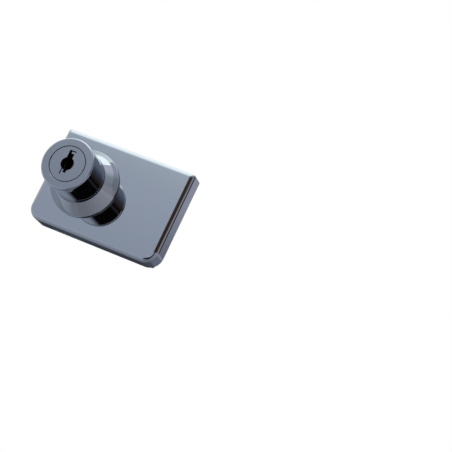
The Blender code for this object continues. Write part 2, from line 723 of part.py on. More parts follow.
def build_nut():
    """Thin round nut, notched for a spanner, that draws the cylinder down onto the housing."""
    front = FACE_WALL + SEAT
    rear = front + NUT_THICKNESS
    inner = SHANK_RADIUS + THREAD_GAP
    edge = NUT_THICKNESS / 6
    profile = [
        (inner, front),
        (NUT_RADIUS, front),
        (NUT_RADIUS, rear - edge),
        (NUT_RADIUS - edge, rear),
        (inner, rear),
    ]
    place = (0, Y_FACE, 0)
    nut = add_object("barrel_nut", turned(profile, 48), STEEL, place)
    notches = bmesh.new()
    for turn in range(4):
        step = Matrix.Rotation(turn * math.pi / 2, 2)
        low = NUT_RADIUS - NUT_NOTCH_DEPTH
        cross = box_outline(-NUT_NOTCH / 2, NUT_NOTCH / 2, low, NUT_RADIUS + 1)
        prism([tuple(step @ Vector(point)) for point in cross], front - 1, rear + 1, notches)
    combine(nut, add_tool("nut_notches", notches, place))
    return nut


def build_bolt():
    """Flat bolt with a chamfered tip, a cross slot for the drive pin and a forked tail."""
    half = BOLT_WIDTH / 2
    tip = Z_BOTTOM + BOLT_TIP_INSET
    outline = [
        (-half + BOLT_TIP_CHAMFER, tip),
        (half - BOLT_TIP_CHAMFER, tip),
        (half, tip + BOLT_TIP_CHAMFER),
        (half, BOLT_TAIL - BOLT_TIP_CHAMFER),
        (half - BOLT_TIP_CHAMFER, BOLT_TAIL),
        (FORK, BOLT_TAIL),
        *arc(FORK, 0, -math.pi, 8, (0, STUD_HEIGHT)),
        (-FORK, BOLT_TAIL),
        (-half + BOLT_TIP_CHAMFER, BOLT_TAIL),
        (-half, BOLT_TAIL - BOLT_TIP_CHAMFER),
        (-half, tip + BOLT_TIP_CHAMFER),
    ]
    bolt = add_object("bolt", prism(outline, BOLT_FRONT, BOLT_REAR), STEEL, (0, Y_FACE, 0))
    reach = PIN_RADIUS + PIN_PLAY
    near, far = PIN_SIDE - RUN, PIN_ORBIT + RUN
    cross = arc(reach, -math.pi / 2, math.pi / 2, 8, (far, PIN_UP))
    cross += arc(reach, math.pi / 2, 3 * math.pi / 2, 8, (near, PIN_UP))
    slot = prism(cross, BOLT_FRONT - 1, BOLT_REAR + 1)
    combine(bolt, add_tool("pin_slot", slot, (0, Y_FACE, 0)))
    return bolt


def build_stud():
    """Guide stud, riveted into the channel's flange, that the bolt's forked tail runs on."""
    foot = STUD_RADIUS * 0.7
    profile = [
        (0, BOLT_FRONT + TURN),
        (STUD_RADIUS, BOLT_FRONT + TURN),
        (STUD_RADIUS, FLANGE_FRONT - TURN),
        (foot, FLANGE_FRONT - TURN),
        (foot, HOUSING_DEPTH - TURN),
        (0, HOUSING_DEPTH - TURN),
    ]
    return add_object("guide_stud", turned(profile, SMALL_STEPS), STEEL, (0, Y_FACE, STUD_HEIGHT))


def lengthened(bm, face):
    """Extrude one end face of a closed sheet by nothing yet, and return the new end face."""
    grown = bmesh.ops.extrude_face_region(bm, geom=[face])["geom"]
    bmesh.ops.delete(bm, geom=[face], context="FACES_ONLY")
    return next(f for f in grown if isinstance(f, bmesh.types.BMFace))


def fold(bm, face, centre, angle, steps):
    """Roll a sheet's end face about a line along X, and return the new end face."""
    step = Matrix.Rotation(angle / steps, 3, "X")
    for _ in range(steps):
        face = lengthened(bm, face)
        bmesh.ops.rotate(bm, verts=list(face.verts), cent=centre, matrix=step)
    return face


def push(bm, face, offset):
    """Lengthen a sheet from its end face, and return the new end face."""
    face = lengthened(bm, face)
    bmesh.ops.translate(bm, verts=list(face.verts), vec=offset)
    return face


def build_channel():
    """Folded sheet: the plate that closes the housing, the web under the glass and the rear jaw."""
    front, rear = Y_FACE + FLANGE_FRONT, Y_FACE + HOUSING_DEPTH
    plain = cavity_outline(RUN)
    cut = [
        (JAW_LEFT - RELIEF, FLANGE_BOTTOM),
        (JAW_LEFT - RELIEF, FOLD_LINE + RELIEF),
        (JAW_LEFT, FOLD_LINE + RELIEF),
        (JAW_LEFT, FOLD_LINE),
        (JAW_RIGHT, FOLD_LINE),
        (JAW_RIGHT, FOLD_LINE + RELIEF),
        (JAW_RIGHT + RELIEF, FOLD_LINE + RELIEF),
        (JAW_RIGHT + RELIEF, FLANGE_BOTTOM),
    ]
    corner = CORNER_STEPS + 1
    bm = prism(plain[:corner] + cut + plain[corner:], front, rear)
    closed(bm)

    def is_tongue(face):
        middle = face.calc_center_median() / MM
        return face.normal.z < -0.9 and abs(middle.z - FOLD_LINE) < 0.01 and abs(middle.x - X_MIDDLE) < 0.01

    end = next(face for face in bm.faces if is_tongue(face))
    end = fold(bm, end, metres(0, rear + BEND_RADIUS, FOLD_LINE), math.pi / 2, BEND_STEPS)
    end = push(bm, end, metres(0, JAW_FRONT - rear - 2 * BEND_RADIUS, 0))
    end = fold(bm, end, metres(0, JAW_FRONT - BEND_RADIUS, FOLD_LINE), math.pi / 2, BEND_STEPS)
    end = push(bm, end, metres(0, 0, JAW_TOP - FOLD_LINE))
    corners = [edge for edge in end.edges if abs(edge.verts[0].co.x - edge.verts[1].co.x) < MERGE * MM]
    bmesh.ops.bevel(bm, geom=corners, offset=JAW_CORNER * MM, segments=5, profile=0.5, affect="EDGES")
    channel = add_object("glass_channel", bm, STEEL)

    holes = bmesh.new()
    for x in set_screw_sides():
        hole = circle(SET_SCREW_RADIUS + THREAD_GAP, SMALL_STEPS, (x, SET_SCREW_LEVEL))
        prism(hole, JAW_FRONT - 1, JAW_REAR + 1, holes)
    rivet = circle(STUD_RADIUS * 0.7 + TURN, SMALL_STEPS, (0, STUD_HEIGHT))
    prism(rivet, front - 1, rear + 1, holes)
    combine(channel, add_tool("channel_holes", holes))

    head = HOUSING_SCREW_HEAD_RADIUS + FIT
    shaft = HOUSING_SCREW_RADIUS + FIT
    sink = [
        (0, -SHEET - 1),
        (shaft, -SHEET - 1),
        (shaft, -HOUSING_SCREW_HEAD - FIT),
        (head, -HOUSING_SCREW_HEAD / 5 - FIT),
        (head, 1),
        (0, 1),
    ]
    for i, (x, z) in enumerate(post_places()):
        cone = turned(sink, SMALL_STEPS)
        combine(channel, add_tool(f"channel_countersink_{i + 1}", cone, (x, rear, z)))
    return channel


def build_housing_screws():
    """Four countersunk screws that hold the channel to the housing's posts."""
    rear = Y_FACE + HOUSING_DEPTH - TURN
    profile = countersunk(
        HOUSING_SCREW_RADIUS, HOUSING_SCREW_HEAD_RADIUS, HOUSING_SCREW_HEAD, HOUSING_SCREW_LENGTH - TURN
    )
    for i, (x, z) in enumerate(post_places()):
        place = (x, rear, z)
        screw = add_object(f"housing_screw_{i + 1}", turned(profile, SMALL_STEPS), STEEL, place)
        recess = prism(circle(HOUSING_SCREW_SOCKET, 6), -HOUSING_SCREW_SOCKET_DEPTH, 1)
        combine(screw, add_tool(f"housing_screw_recess_{i + 1}", recess, place))


def set_screw_sides():
    """The x of each set screw."""
    return (JAW_LEFT + SET_SCREW_INSET, JAW_RIGHT - SET_SCREW_INSET)


def build_pads():
    """The fixed pad that the glass bears on, and the pad under the glass's edge."""
    inset = FRONT_PAD_INSET
    low, high = EDGE_PAD_TOP + FRONT_PAD_RISE, JAW_TOP - FRONT_PAD_FROM_TOP
    outline = rounded_outline(JAW_LEFT + inset, JAW_RIGHT - inset, low, high, PAD_CORNER, PAD_CORNER)
    add_object("front_pad", prism(outline, -PAD_THICKNESS, 0), RUBBER)
    inset = EDGE_PAD_INSET
    outline = box_outline(JAW_LEFT + inset, JAW_RIGHT - inset, EDGE_PAD_LOW, EDGE_PAD_TOP)
    add_object("edge_pad", prism(outline, BEND_RADIUS, JAW_FRONT - SEAT - BEND_RADIUS), RUBBER)


def build_pressure_plate():
    """Steel plate with two blind dimples for the set screws' points, and the pad bonded to its face."""
    left, right = JAW_LEFT + PLATE_INSET, JAW_RIGHT - PLATE_INSET
    outline = rounded_outline(left, right, PLATE_LOW, PLATE_HIGH, PLATE_CORNER, PLATE_CORNER)
    plate = add_object("pressure_plate", prism(outline, PLATE_FRONT, PLATE_REAR), STEEL)
    dimples = bmesh.new()
    for x in set_screw_sides():
        dimple = circle(DOG_RADIUS + FIT, SMALL_STEPS, (x, SET_SCREW_LEVEL))
        prism(dimple, PLATE_REAR - DIMPLE_DEPTH - FIT, PLATE_REAR + 1, dimples)
    combine(plate, add_tool("plate_dimples", dimples))
    inset = REAR_PAD_BORDER
    corner = PLATE_CORNER - inset
    low, high = PLATE_LOW + inset, PLATE_HIGH - inset
    outline = rounded_outline(left + inset, right - inset, low, high, corner, corner)
    add_object("rear_pad", prism(outline, GLASS_GAP, GLASS_GAP + REAR_PAD_THICKNESS), RUBBER)


def build_set_screws():
    """Two hexagon-socket set screws with dog points, and the weld nuts that they turn in."""
    tip = PLATE_REAR - DIMPLE_DEPTH
    shoulder = tip + DOG_LENGTH
    rear = SET_SCREW_REAR
    edge = SET_SCREW_CHAMFER
    radius = SET_SCREW_RADIUS
    profile = [
        (0, tip),
        (DOG_RADIUS, tip),
        (DOG_RADIUS, shoulder),
        (radius - edge, shoulder),
        (radius, shoulder + edge),
        (radius, rear - edge),
        (radius - edge, rear),
        (0, rear),
    ]
    nut_front = JAW_REAR + SEAT
    nut_rear = nut_front + WELD_NUT_THICKNESS
    for i, x in enumerate(set_screw_sides()):
        place = (x, 0, SET_SCREW_LEVEL)
        screw = add_object(f"set_screw_{i + 1}", turned(profile, SMALL_STEPS), DARK_STEEL, place)
        socket = prism(circle(SET_SCREW_SOCKET, 6), rear - SET_SCREW_SOCKET_DEPTH, rear + 1)
        combine(screw, add_tool(f"set_screw_socket_{i + 1}", socket, place))
        hexagon = circle(WELD_NUT_FLAT / math.cos(math.pi / 6), 6)
        nut = add_object(f"weld_nut_{i + 1}", prism(hexagon, nut_front, nut_rear), STEEL, place)
        bore = prism(circle(radius + THREAD_GAP), nut_front - 1, nut_rear + 1)
        combine(nut, add_tool(f"weld_nut_bore_{i + 1}", bore, place))


def build():
    """The whole lock, with the plug's group on an empty that lies on the plug's axis."""
    build_housing()
    build_collar()
    build_barrel()
    build_nut()
    plug_axis = add_empty("plug_axis", (0, Y_FACE, 0))
    build_plug(plug_axis)
    build_wafers(plug_axis)
    build_springs(plug_axis)
    build_cam(plug_axis)
    build_cam_screw(plug_axis)
    build_bolt()
    build_stud()
    build_channel()
    build_housing_screws()
    build_pads()
    build_pressure_plate()
    build_set_screws()


build()
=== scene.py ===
"""Looks of a clamp-on glass door lock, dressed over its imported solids.

The outside pieces are modelled again with finer rounds, edge breaks and threads; the inner ones keep their
solids. Sizes are in millimetres. Y runs from the front towards the glass, and Z is up.
"""

import logging
import math
from collections.abc import Sequence
from dataclasses import dataclass, field
from enum import Enum

import bpy
from mathutils import Matrix, Vector


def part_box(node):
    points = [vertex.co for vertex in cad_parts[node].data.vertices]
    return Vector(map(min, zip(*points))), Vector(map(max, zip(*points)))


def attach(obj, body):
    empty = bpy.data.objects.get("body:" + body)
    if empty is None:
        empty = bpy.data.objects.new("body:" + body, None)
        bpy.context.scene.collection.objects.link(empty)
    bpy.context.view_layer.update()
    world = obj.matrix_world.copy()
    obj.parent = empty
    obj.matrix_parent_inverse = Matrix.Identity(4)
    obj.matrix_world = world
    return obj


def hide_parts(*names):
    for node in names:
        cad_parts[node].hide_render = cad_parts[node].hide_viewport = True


LOG = logging.getLogger("glass_door_lock")
MM = 0.001
Point = tuple[float, float]
# The numbers of the solids that come more than once.
WAFERS = range(1, 7)
HOUSING_SCREWS = range(1, 5)
SET_SCREWS = range(1, 3)
# Chords to a corner of the housing, to its rolled edge, and to a smaller arc.
CORNER_STEPS = 12
FILLET_STEPS = 12
ARC_STEPS = 8
# How far a tool reaches past the piece that it cuts or into the one that it joins, in millimetres.
PAST = 1.0
# Points nearer to each other than this are one, in millimetres.
WELD = 0.0005
# The most of a side that a rounded corner takes up.
SIDE_SHARE = 0.4
# Faces across an edge break, and how strongly the large faces pull the normals flat.
BREAK_SEGMENTS = 2
FLAT_WEIGHT = 80
# A piece's front face looks forwards this squarely, and lies this near to its front, in millimetres.
FACING = 0.999
FACE_DEPTH = 0.001
# Where the inside of a bore begins behind the front face, in millimetres.
INSIDE_DEPTH = 0.1
# Layers in the haze and in the relief, the part of the noise that is used, and the relief's strength.
HAZE_DETAIL = 4.0
RELIEF_DETAIL = 2.0
NOISE_RANGE = (0.3, 0.7)
RELIEF_STRENGTH = 0.5

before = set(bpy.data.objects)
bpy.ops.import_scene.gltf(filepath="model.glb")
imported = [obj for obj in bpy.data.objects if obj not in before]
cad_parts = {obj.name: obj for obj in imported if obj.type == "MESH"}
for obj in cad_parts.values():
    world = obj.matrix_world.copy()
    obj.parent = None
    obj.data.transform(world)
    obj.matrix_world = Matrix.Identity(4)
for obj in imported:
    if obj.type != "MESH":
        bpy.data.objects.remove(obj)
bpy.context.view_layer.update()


class Body(Enum):
    """The bodies that remodelled pieces ride on, apart from the set screws' own."""

    LOCK = "lock_body"
    PLUG = "key_plug"


class Cut(Enum):
    """What a tool does to the piece that it meets."""

    AWAY = "DIFFERENCE"
    JOIN = "UNION"


def linear(code: str) -> tuple[float, float, float, float]:
    """Turn an sRGB hex colour to linear light.

    Args:
        code: The colour as rrggbb.

    Returns:
        Red, green, blue and an alpha of 1.
    """
    parts = [int(code[i : i + 2], 16) / 255 for i in (0, 2, 4)]
    red, green, blue = (p / 12.92 if p <= 0.04045 else ((p + 0.055) / 1.055) ** 2.4 for p in parts)
    return red, green, blue, 1.0


def add_node(
    tree: bpy.types.NodeTree, kind: str, links: dict | None = None, **settings: object
) -> bpy.types.Node:
    """Add a node, set its properties, and set or link its inputs.

    Args:
        tree: The node tree.
        kind: The node's type name.
        links: Values or output sockets by input name or number.
        settings: Properties of the node itself.

    Returns:
        The new node.
    """
    node = tree.nodes.new(kind)
    for key, value in settings.items():
        setattr(node, key, value)
    for key, value in (links or {}).items():
        if isinstance(value, bpy.types.NodeSocket):
            tree.links.new(value, node.inputs[key])
        else:
            node.inputs[key].default_value = value
    return node


def compute(tree: bpy.types.NodeTree, operation: str, *values: object) -> bpy.types.NodeSocket:
    """Do one sum on numbers or sockets.

    Args:
        tree: The node tree.
        operation: The sum's name.
        values: Numbers or output sockets, in order.

    Returns:
        The result.
    """
    return add_node(tree, "ShaderNodeMath", dict(enumerate(values)), operation=operation).outputs[0]


@dataclass(frozen=True)
class Finish:
    """A real material with its surface treatment.

    Attributes:
        name: The material's name.
        slot: The record's slot that it belongs to. It is not used.
        color: Its sRGB colour as rrggbb.
        roughness: Its middle roughness.
        haze: How far the roughness wanders from there.
        haze_size: The size of the haze's clouds, in millimetres.
        relief: The depth of the fine relief, in millimetres.
        relief_size: The size of the relief's grain, in millimetres.
        metallic: 1 for metal, less under oxide, 0 for a plastic.
        stretch: The noise's scale along the axes.
    """

    name: str
    slot: str
    color: str
    roughness: float
    haze: float
    haze_size: float
    relief: float
    relief_size: float
    metallic: float = 1.0
    stretch: tuple[float, float, float] = (1.0, 1.0, 1.0)

    def material(self) -> bpy.types.Material:
        """Make the material once, and find it again later.

        Returns:
            The finish as a material of nodes.
        """
        found = bpy.data.materials.get(self.name)
        if found:
            return found
        material = bpy.data.materials.new(self.name)
        material.use_nodes = True
        tree = material.node_tree
        shader = tree.nodes["Principled BSDF"]
        shader.inputs["Base Color"].default_value = linear(self.color)
        shader.inputs["Metallic"].default_value = self.metallic
        place = add_node(tree, "ShaderNodeTexCoord").outputs["Object"]
        mapping = add_node(tree, "ShaderNodeMapping", {"Vector": place, "Scale": self.stretch})
        self.dress(tree, shader, mapping.outputs["Vector"])
        return material

    @staticmethod
    def noise(
        tree: bpy.types.NodeTree, place: bpy.types.NodeSocket, size: float, detail: float
    ) -> bpy.types.NodeSocket:
        """Spread a noise over the piece.

        Args:
            tree: The material's nodes.
            place: Coordinates on the piece.
            size: The noise's size, in millimetres.
            detail: Its layers.

        Returns:
            Its value.
        """
        links = {"Vector": place, "Scale": 1 / (size * MM), "Detail": detail}
        return add_node(tree, "ShaderNodeTexNoise", links).outputs["Fac"]

    def dress(self, tree: bpy.types.NodeTree, shader: bpy.types.Node, place: bpy.types.NodeSocket) -> None:
        """Give the surface its uneven gloss and its fine relief.

        Args:
            tree: The material's nodes.
            shader: The surface shader.
            place: Coordinates on the piece.
        """
        low, high = NOISE_RANGE
        cloud = self.noise(tree, place, self.haze_size, HAZE_DETAIL)
        spread = {"Value": cloud, "From Min": low, "From Max": high}
        spread["To Min"] = max(self.roughness - self.haze, 0.0)
        spread["To Max"] = self.roughness + self.haze
        gloss = add_node(tree, "ShaderNodeMapRange", spread)
        tree.links.new(gloss.outputs["Result"], shader.inputs["Roughness"])
        grain = self.noise(tree, place, self.relief_size, RELIEF_DETAIL)
        rise = {"Height": grain, "Strength": RELIEF_STRENGTH, "Distance": self.relief * MM}
        bump = add_node(tree, "ShaderNodeBump", rise)
        tree.links.new(bump.outputs["Normal"], shader.inputs["Normal"])


# Zinc die casting, polished and chrome plated: an even mirror.
CAST_CHROME = Finish(
    "chrome_plated_zinc_casting", "bright_chrome", "cbcdce",
    roughness=0.03, haze=0.01, haze_size=6.0, relief=0.0005, relief_size=1.5,
)
# Turned brass under bright chrome: a clean mirror with the faintest wipe marks.
TURNED_CHROME = Finish(
    "bright_chrome_on_turned_brass", "bright_chrome", "cbcdce",
    roughness=0.03, haze=0.01, haze_size=4.0, relief=0.001, relief_size=1.0,
)
# The faces of the plug and of the ring round it, which are lapped flat and a little duller.
LAPPED_CHROME = Finish(
    "chrome_on_lapped_plug", "satin_chrome", "afb0b4",
    roughness=0.16, haze=0.03, haze_size=3.0, relief=0.002, relief_size=0.5,
)
# Brass where the keyway is broached through the plating, painted dark as the shade inside the gap round the
# plug, the bores and the keyway.
BARE_BRASS_WITH_PAINTED_SHADE = Finish(
    "bare_brass_with_painted_shade", "satin_chrome", "463725",
    roughness=0.38, haze=0.06, haze_size=1.0, relief=0.004, relief_size=0.3,
)
# Rolled steel with bright zinc and a blue passivation: brushed along the sheet, soft and cold.
ZINC_SHEET = Finish(
    "blue_zinc_plated_steel_sheet", "zinc_steel", "a9aeb2",
    roughness=0.34, haze=0.07, haze_size=5.0, relief=0.006, relief_size=0.5, stretch=(0.12, 1.0, 1.0),
)
# The same plating on turned and pressed pieces, without the rolling direction.
ZINC_TURNED = Finish(
    "blue_zinc_plated_turned_steel", "zinc_steel", "a4a9ad",
    roughness=0.30, haze=0.06, haze_size=2.0, relief=0.004, relief_size=0.4,
)
# Hardened screws with black oxide and a little oil.
BLACK_OXIDE = Finish(
    "black_oxide_on_hardened_steel", "black_steel", "2b2b2e",
    roughness=0.36, haze=0.06, haze_size=1.5, relief=0.004, relief_size=0.3, metallic=0.85,
)
# Blanked brass strip, bare and faintly tarnished.
STAMPED_BRASS = Finish(
    "bare_stamped_brass", "brass", "8a6f3e",
    roughness=0.34, haze=0.08, haze_size=1.0, relief=0.004, relief_size=0.25,
)
# Drawn spring wire, shiny along its coils.
SPRING_WIRE = Finish(
    "drawn_spring_wire", "spring_steel", "9a9a9c",
    roughness=0.25, haze=0.04, haze_size=0.5, relief=0.002, relief_size=0.1,
)


@dataclass(frozen=True)
class PadVinyl(Finish):
    """Soft moulded vinyl: pale, waxy, a little light goes into it.

    Attributes:
        soak: How much of its look comes from light that goes into it.
        soak_depth: How deep the light goes, in millimetres.
        refraction: Its index of refraction.
    """

    soak: float = 0.35
    soak_depth: float = 0.6
    refraction: float = 1.53

    def dress(self, tree: bpy.types.NodeTree, shader: bpy.types.Node, place: bpy.types.NodeSocket) -> None:
        """Add the depth of a soft translucent pad to its haze and grain.

        Args:
            tree: The material's nodes.
            shader: The surface shader.
            place: Coordinates on the piece.
        """
        super().dress(tree, shader, place)
        shader.inputs["Subsurface Weight"].default_value = self.soak
        shader.inputs["Subsurface Radius"].default_value = (1.0, 1.0, 1.0)
        shader.inputs["Subsurface Scale"].default_value = self.soak_depth * MM
        shader.inputs["IOR"].default_value = self.refraction


PAD_VINYL = PadVinyl(
    "soft_moulded_vinyl", "clear_rubber", "cfd1cd",
    roughness=0.52, haze=0.08, haze_size=2.0, relief=0.02, relief_size=0.35, metallic=0.0,
)


def metres(x: float, y: float, z: float) -> Vector:
    """A point given in millimetres."""
    return Vector((x, y, z)) * MM


def rounded(profile: Sequence[Point], radius: float, steps: int = 4) -> list[Point]:
    """Break the corners of a closed profile with small arcs.

    Args:
        profile: Corners in order.
        radius: The break's reach along each side, less where a side is short.
        steps: Chords to each arc.

    Returns:
        The profile with its corners rounded.
    """
    count = len(profile)
    points: list[Point] = []
    for i, corner in enumerate(profile):
        here, before, after = (Vector(p) for p in (corner, profile[i - 1], profile[(i + 1) % count]))
        shorter = min((before - here).length, (after - here).length)
        reach = min(radius, SIDE_SHARE * shorter)
        start = here + (before - here).normalized() * reach
        end = here + (after - here).normalized() * reach
        for k in range(steps + 1):
            t = k / steps
            spot = start * (1 - t) ** 2 + here * 2 * t * (1 - t) + end * t**2
            points.append((spot.x, spot.y))
    return points


def deselect() -> None:
    """Leave nothing selected."""
    bpy.ops.object.select_all(action="DESELECT")


def choose(piece: bpy.types.Object) -> None:
    """Select one piece alone and make it active."""
    deselect()
    piece.select_set(True)
    bpy.context.view_layer.objects.active = piece


def settle(name: str) -> bpy.types.Object:
    """Put the active object's place and turn into its mesh.

    Args:
        name: The piece's name.

    Returns:
        The piece, at the origin.
    """
    piece = bpy.context.view_layer.objects.active
    piece.name = name
    piece.data.name = name
    bpy.ops.object.transform_apply(location=True, rotation=True, scale=True)
    return piece


def block(name: str, low: Sequence[float], high: Sequence[float]) -> bpy.types.Object:
    """A block between two corners.

    Args:
        name: The piece's name.
        low: Its lowest corner.
        high: Its highest corner.

    Returns:
        The block.
    """
    deselect()
    centre = (metres(*low) + metres(*high)) / 2
    bpy.ops.mesh.primitive_cube_add(size=1, location=centre, scale=metres(*high) - metres(*low))
    return settle(name)


def rod(
    name: str, radius: float, front: float, rear: float, at: Point = (0, 0), sides: int = 64
) -> bpy.types.Object:
    """A round or many-sided bar along Y.

    Args:
        name: The piece's name.
        radius: To its corners.
        front: Where it starts.
        rear: Where it ends.
        at: The X and Z of its middle.
        sides: Its sides.

    Returns:
        The bar.
    """
    deselect()
    bpy.ops.mesh.primitive_cylinder_add(
        vertices=sides,
        radius=radius * MM,
        depth=(rear - front) * MM,
        location=metres(at[0], (front + rear) / 2, at[1]),
        rotation=(math.pi / 2, 0, 0),
    )
    return settle(name)


def arc(radius: float, begin: float, end: float, steps: int) -> list[Point]:
    """Corners along an arc about the axis, both ends included, or one corner for no steps."""
    turns = [begin + (end - begin) * k / max(steps, 1) for k in range(steps + 1)]
    return [(radius * math.cos(a), radius * math.sin(a)) for a in turns]


def turning(
    name: str, profile: Sequence[Point], at: Point = (0, 0), solid: bool = False, sides: int = 128
) -> bpy.types.Object:
    """Turn a profile about a line along Y, ring by ring.

    Args:
        name: The piece's name.
        profile: Radius and Y of each corner, in order round the section.
        at: The X and Z of the axis.
        solid: Whether the two ends are capped, and not joined to each other.
        sides: Sides round the axis.

    Returns:
        The turned piece.
    """
    deselect()
    first = profile[0]
    radius, y = first
    bpy.ops.mesh.primitive_circle_add(
        vertices=sides,
        radius=radius * MM,
        fill_type="NGON" if solid else "NOTHING",
        location=metres(at[0], y, at[1]),
        rotation=(math.pi / 2, 0, 0),
    )
    piece = settle(name)
    bpy.ops.object.mode_set(mode="EDIT")
    bpy.ops.mesh.select_mode(type="VERT")
    bpy.ops.mesh.select_all(action="SELECT")
    for next_radius, next_y in [*profile[1:], *([] if solid else [first])]:
        grow = next_radius / radius
        bpy.ops.mesh.extrude_region_move(TRANSFORM_OT_translate={"value": (0, (next_y - y) * MM, 0)})
        bpy.ops.transform.resize(value=(grow, 1, grow), center_override=metres(at[0], next_y, at[1]))
        radius, y = next_radius, next_y
    bpy.ops.mesh.select_all(action="SELECT")
    bpy.ops.mesh.remove_doubles(threshold=WELD * MM)
    bpy.ops.mesh.normals_make_consistent(inside=False)
    bpy.ops.object.mode_set(mode="OBJECT")
    return piece


def plate_from(name: str, outline: Sequence[Point], front: float, rear: float) -> bpy.types.Object:
    """A flat piece with any outline.

    Args:
        name: The piece's name.
        outline: X and Z of its corners, in order.
        front: Its front face.
        rear: Its rear face.

    Returns:
        The piece.
    """
    return ringed(name, [(outline, front), (outline, rear)])


def ringed(name: str, rings: Sequence[tuple[Sequence[Point], float]]) -> bpy.types.Object:
    """A solid through outlines with equal numbers of corners, grown from the first outline's face.

    Args:
        name: The piece's name.
        rings: Each outline with its Y, in order.

    Returns:
        The solid.
    """
    outline, y = rings[0]
    deselect()
    bpy.ops.mesh.primitive_circle_add(vertices=len(outline), radius=MM, fill_type="NGON")
    piece = settle(name)
    for vertex, (x, z) in zip(piece.data.vertices, outline, strict=True):
        vertex.co = metres(x, y, z)
    order = list(range(len(outline)))
    for next_outline, next_y in rings[1:]:
        bpy.ops.object.mode_set(mode="EDIT")
        bpy.ops.mesh.select_mode(type="VERT")
        bpy.ops.mesh.extrude_region_move(TRANSFORM_OT_translate={"value": (0, (next_y - y) * MM, 0)})
        bpy.ops.object.mode_set(mode="OBJECT")
        vertices = piece.data.vertices
        grown = {}
        for edge in piece.data.edges:
            first, second = edge.vertices
            if vertices[first].select != vertices[second].select:
                root, tip = (second, first) if vertices[first].select else (first, second)
                grown[root] = tip
        order = [grown[index] for index in order]
        for index, (x, z) in zip(order, next_outline, strict=True):
            vertices[index].co = metres(x, next_y, z)
        y = next_y
    bpy.ops.object.mode_set(mode="EDIT")
    bpy.ops.mesh.select_all(action="SELECT")
    bpy.ops.mesh.normals_make_consistent(inside=False)
    bpy.ops.object.mode_set(mode="OBJECT")
    return piece


def work(
    piece: bpy.types.Object, tools: Sequence[bpy.types.Object], cut: Cut = Cut.AWAY
) -> bpy.types.Object:
    """Cut tools out of a piece or join them to it, and throw the tools away.

    Args:
        piece: The piece.
        tools: The shapes to use up.
        cut: Whether they are cut away or joined on.

    Returns:
        The piece.
    """
    for tool in tools:
        choose(piece)
        modifier = piece.modifiers.new("cut", "BOOLEAN")
        modifier.operation = cut.value
        modifier.solver = "EXACT"
        modifier.object = tool
        bpy.ops.object.modifier_apply(modifier=modifier.name)
        bpy.data.objects.remove(tool, do_unlink=True)
    return piece


def smooth(piece: bpy.types.Object, edge: float = 0.0, angle: float = 35.0) -> bpy.types.Object:
    """Break the sharp edges a little, and shade the rest smooth.

    Args:
        piece: The piece.
        edge: The width of the break, or 0 for none.
        angle: Faces that meet at more than this many degrees make an edge.

    Returns:
        The piece.
    """
    choose(piece)
    if edge:
        bevel = piece.modifiers.new("edge_break", "BEVEL")
        bevel.width = edge * MM
        bevel.segments = BREAK_SEGMENTS
        bevel.limit_method = "ANGLE"
        bevel.angle_limit = math.radians(angle)
        bevel.use_clamp_overlap = True
        bpy.ops.object.modifier_apply(modifier=bevel.name)
    bpy.ops.object.shade_smooth_by_angle(angle=math.radians(angle))
    weigh = piece.modifiers.new("flat_faces", "WEIGHTED_NORMAL")
    weigh.keep_sharp = True
    weigh.weight = FLAT_WEIGHT
    bpy.ops.object.modifier_apply(modifier=weigh.name)
    return piece


def dress(piece: bpy.types.Object, finish: Finish, body: Body | str, *nodes: str) -> None:
    """Finish a piece, hang it on its body, and let it stand for its solids.

    Args:
        piece: The piece.
        finish: Its finish.
        body: The body that it rides on.
        nodes: The solids that it replaces.
    """
    piece.data.materials.clear()
    piece.data.materials.append(finish.material())
    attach(piece, body.value if isinstance(body, Body) else body)
    if nodes:
        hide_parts(*nodes)
    LOG.info("%s: %d faces", piece.name, len(piece.data.polygons))


def face_front(piece: bpy.types.Object, finish: Finish) -> None:
    """Give a piece's foremost flat face a finish of its own.

    Args:
        piece: The piece.
        finish: The face's finish.
    """
    front = min(corner[1] for corner in piece.bound_box)
    index = len(piece.data.materials)
    piece.data.materials.append(finish.material())
    for polygon in piece.data.polygons:
        if polygon.normal.y < -FACING and polygon.center.y < front + FACE_DEPTH * MM:
            polygon.material_index = index


def paint_shade_inside(piece: bpy.types.Object, finish: Finish, reach: float) -> None:
    """Paint the faces behind the front and near the cylinder's axis with a finish of their own, as painted
    shade.

    Args:
        piece: The piece.
        finish: The finish of its inside, dark as painted shade.
        reach: How far from the axis the inside goes, in millimetres.
    """
    front = min(corner[1] for corner in piece.bound_box)
    index = len(piece.data.materials)
    piece.data.materials.append(finish.material())
    for polygon in piece.data.polygons:
        middle = polygon.center
        if middle.y > front + INSIDE_DEPTH * MM and math.hypot(middle.x, middle.z) < reach * MM:
            polygon.material_index = index


def box_mm(node: str) -> tuple[Vector, Vector]:
    """A solid's lowest and highest corner, in millimetres."""
    low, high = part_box(node)
    return low / MM, high / MM


def axis_of(node: str) -> Point:
    """The X and Z of a solid's middle, in millimetres."""
    low, high = box_mm(node)
    return (low.x + high.x) / 2, (low.z + high.z) / 2


